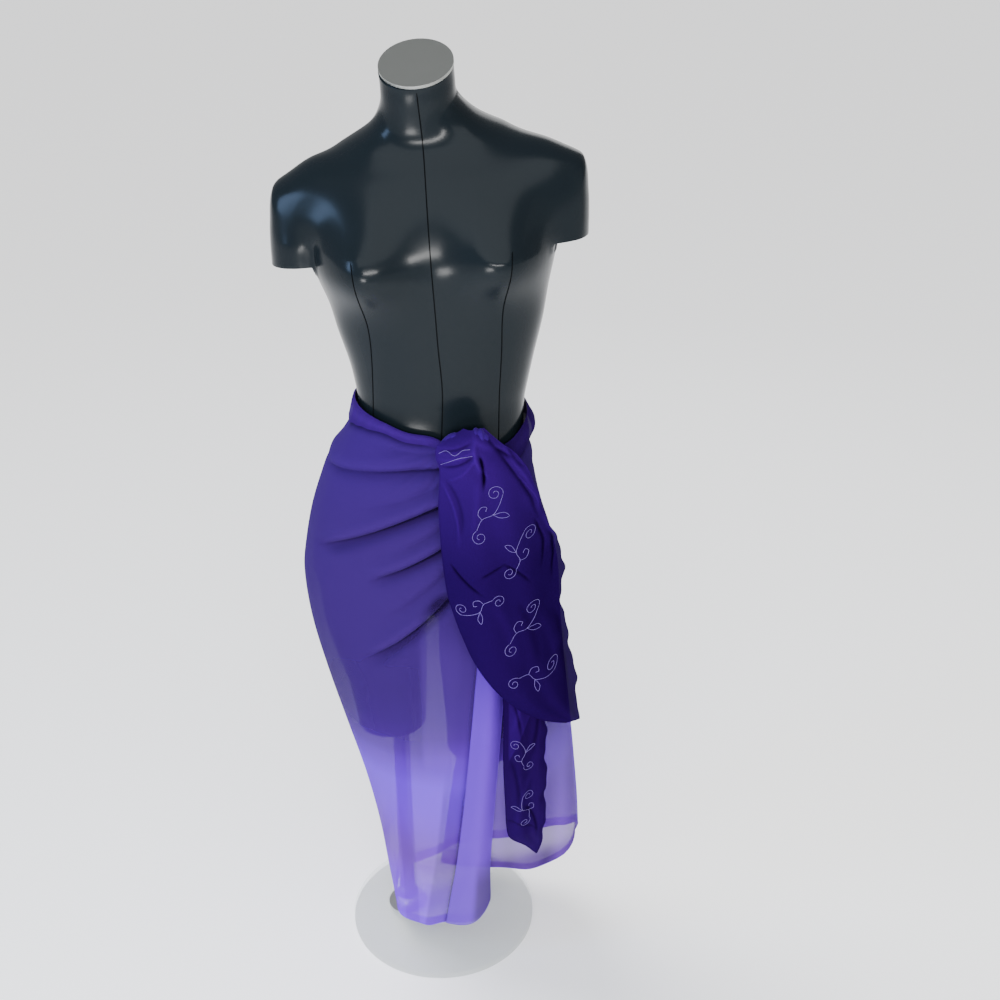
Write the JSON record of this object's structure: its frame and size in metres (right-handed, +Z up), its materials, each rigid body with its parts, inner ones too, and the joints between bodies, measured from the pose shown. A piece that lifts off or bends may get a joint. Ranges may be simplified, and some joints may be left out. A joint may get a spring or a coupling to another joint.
{
  "type": "sarong on a limbless dress form",
  "caption": "Sheer wrap sarong, dark at the waist and pale at the hem, knotted in front with hanging tails, dressed on a headless, limbless torso form that stands on a rod and a round base.",
  "frame": {"origin": "centre of the round base's underside, where the stand rests", "axes": "+Z up, -Y to the front of the torso form, +X to the wearer's left"},
  "size_m": [0.4235, 0.3242, 1.3888],
  "materials": {
    "form_plastic": "moulded slate black, glossy",
    "brushed_steel": "brushed",
    "chrome": "polished",
    "base_glass": "clear, polished edge",
    "cloth_pale": "sheer plain weave, violet fading to lavender at the hem",
    "cloth_dark": "sheer plain weave, deep violet, fine raised thread along the border"
  },
  "bodies": {
    "root": {"torso_form": "form_plastic", "neck_cap": "brushed_steel", "stand_base": "base_glass", "stand_collar": "chrome", "stand_rod": "chrome", "skirt_wrap": "cloth_pale", "waist_fold": "cloth_dark", "knot": "cloth_dark", "tail_front": "cloth_dark", "tail_back": "cloth_dark"}
  },
  "joints": []
}
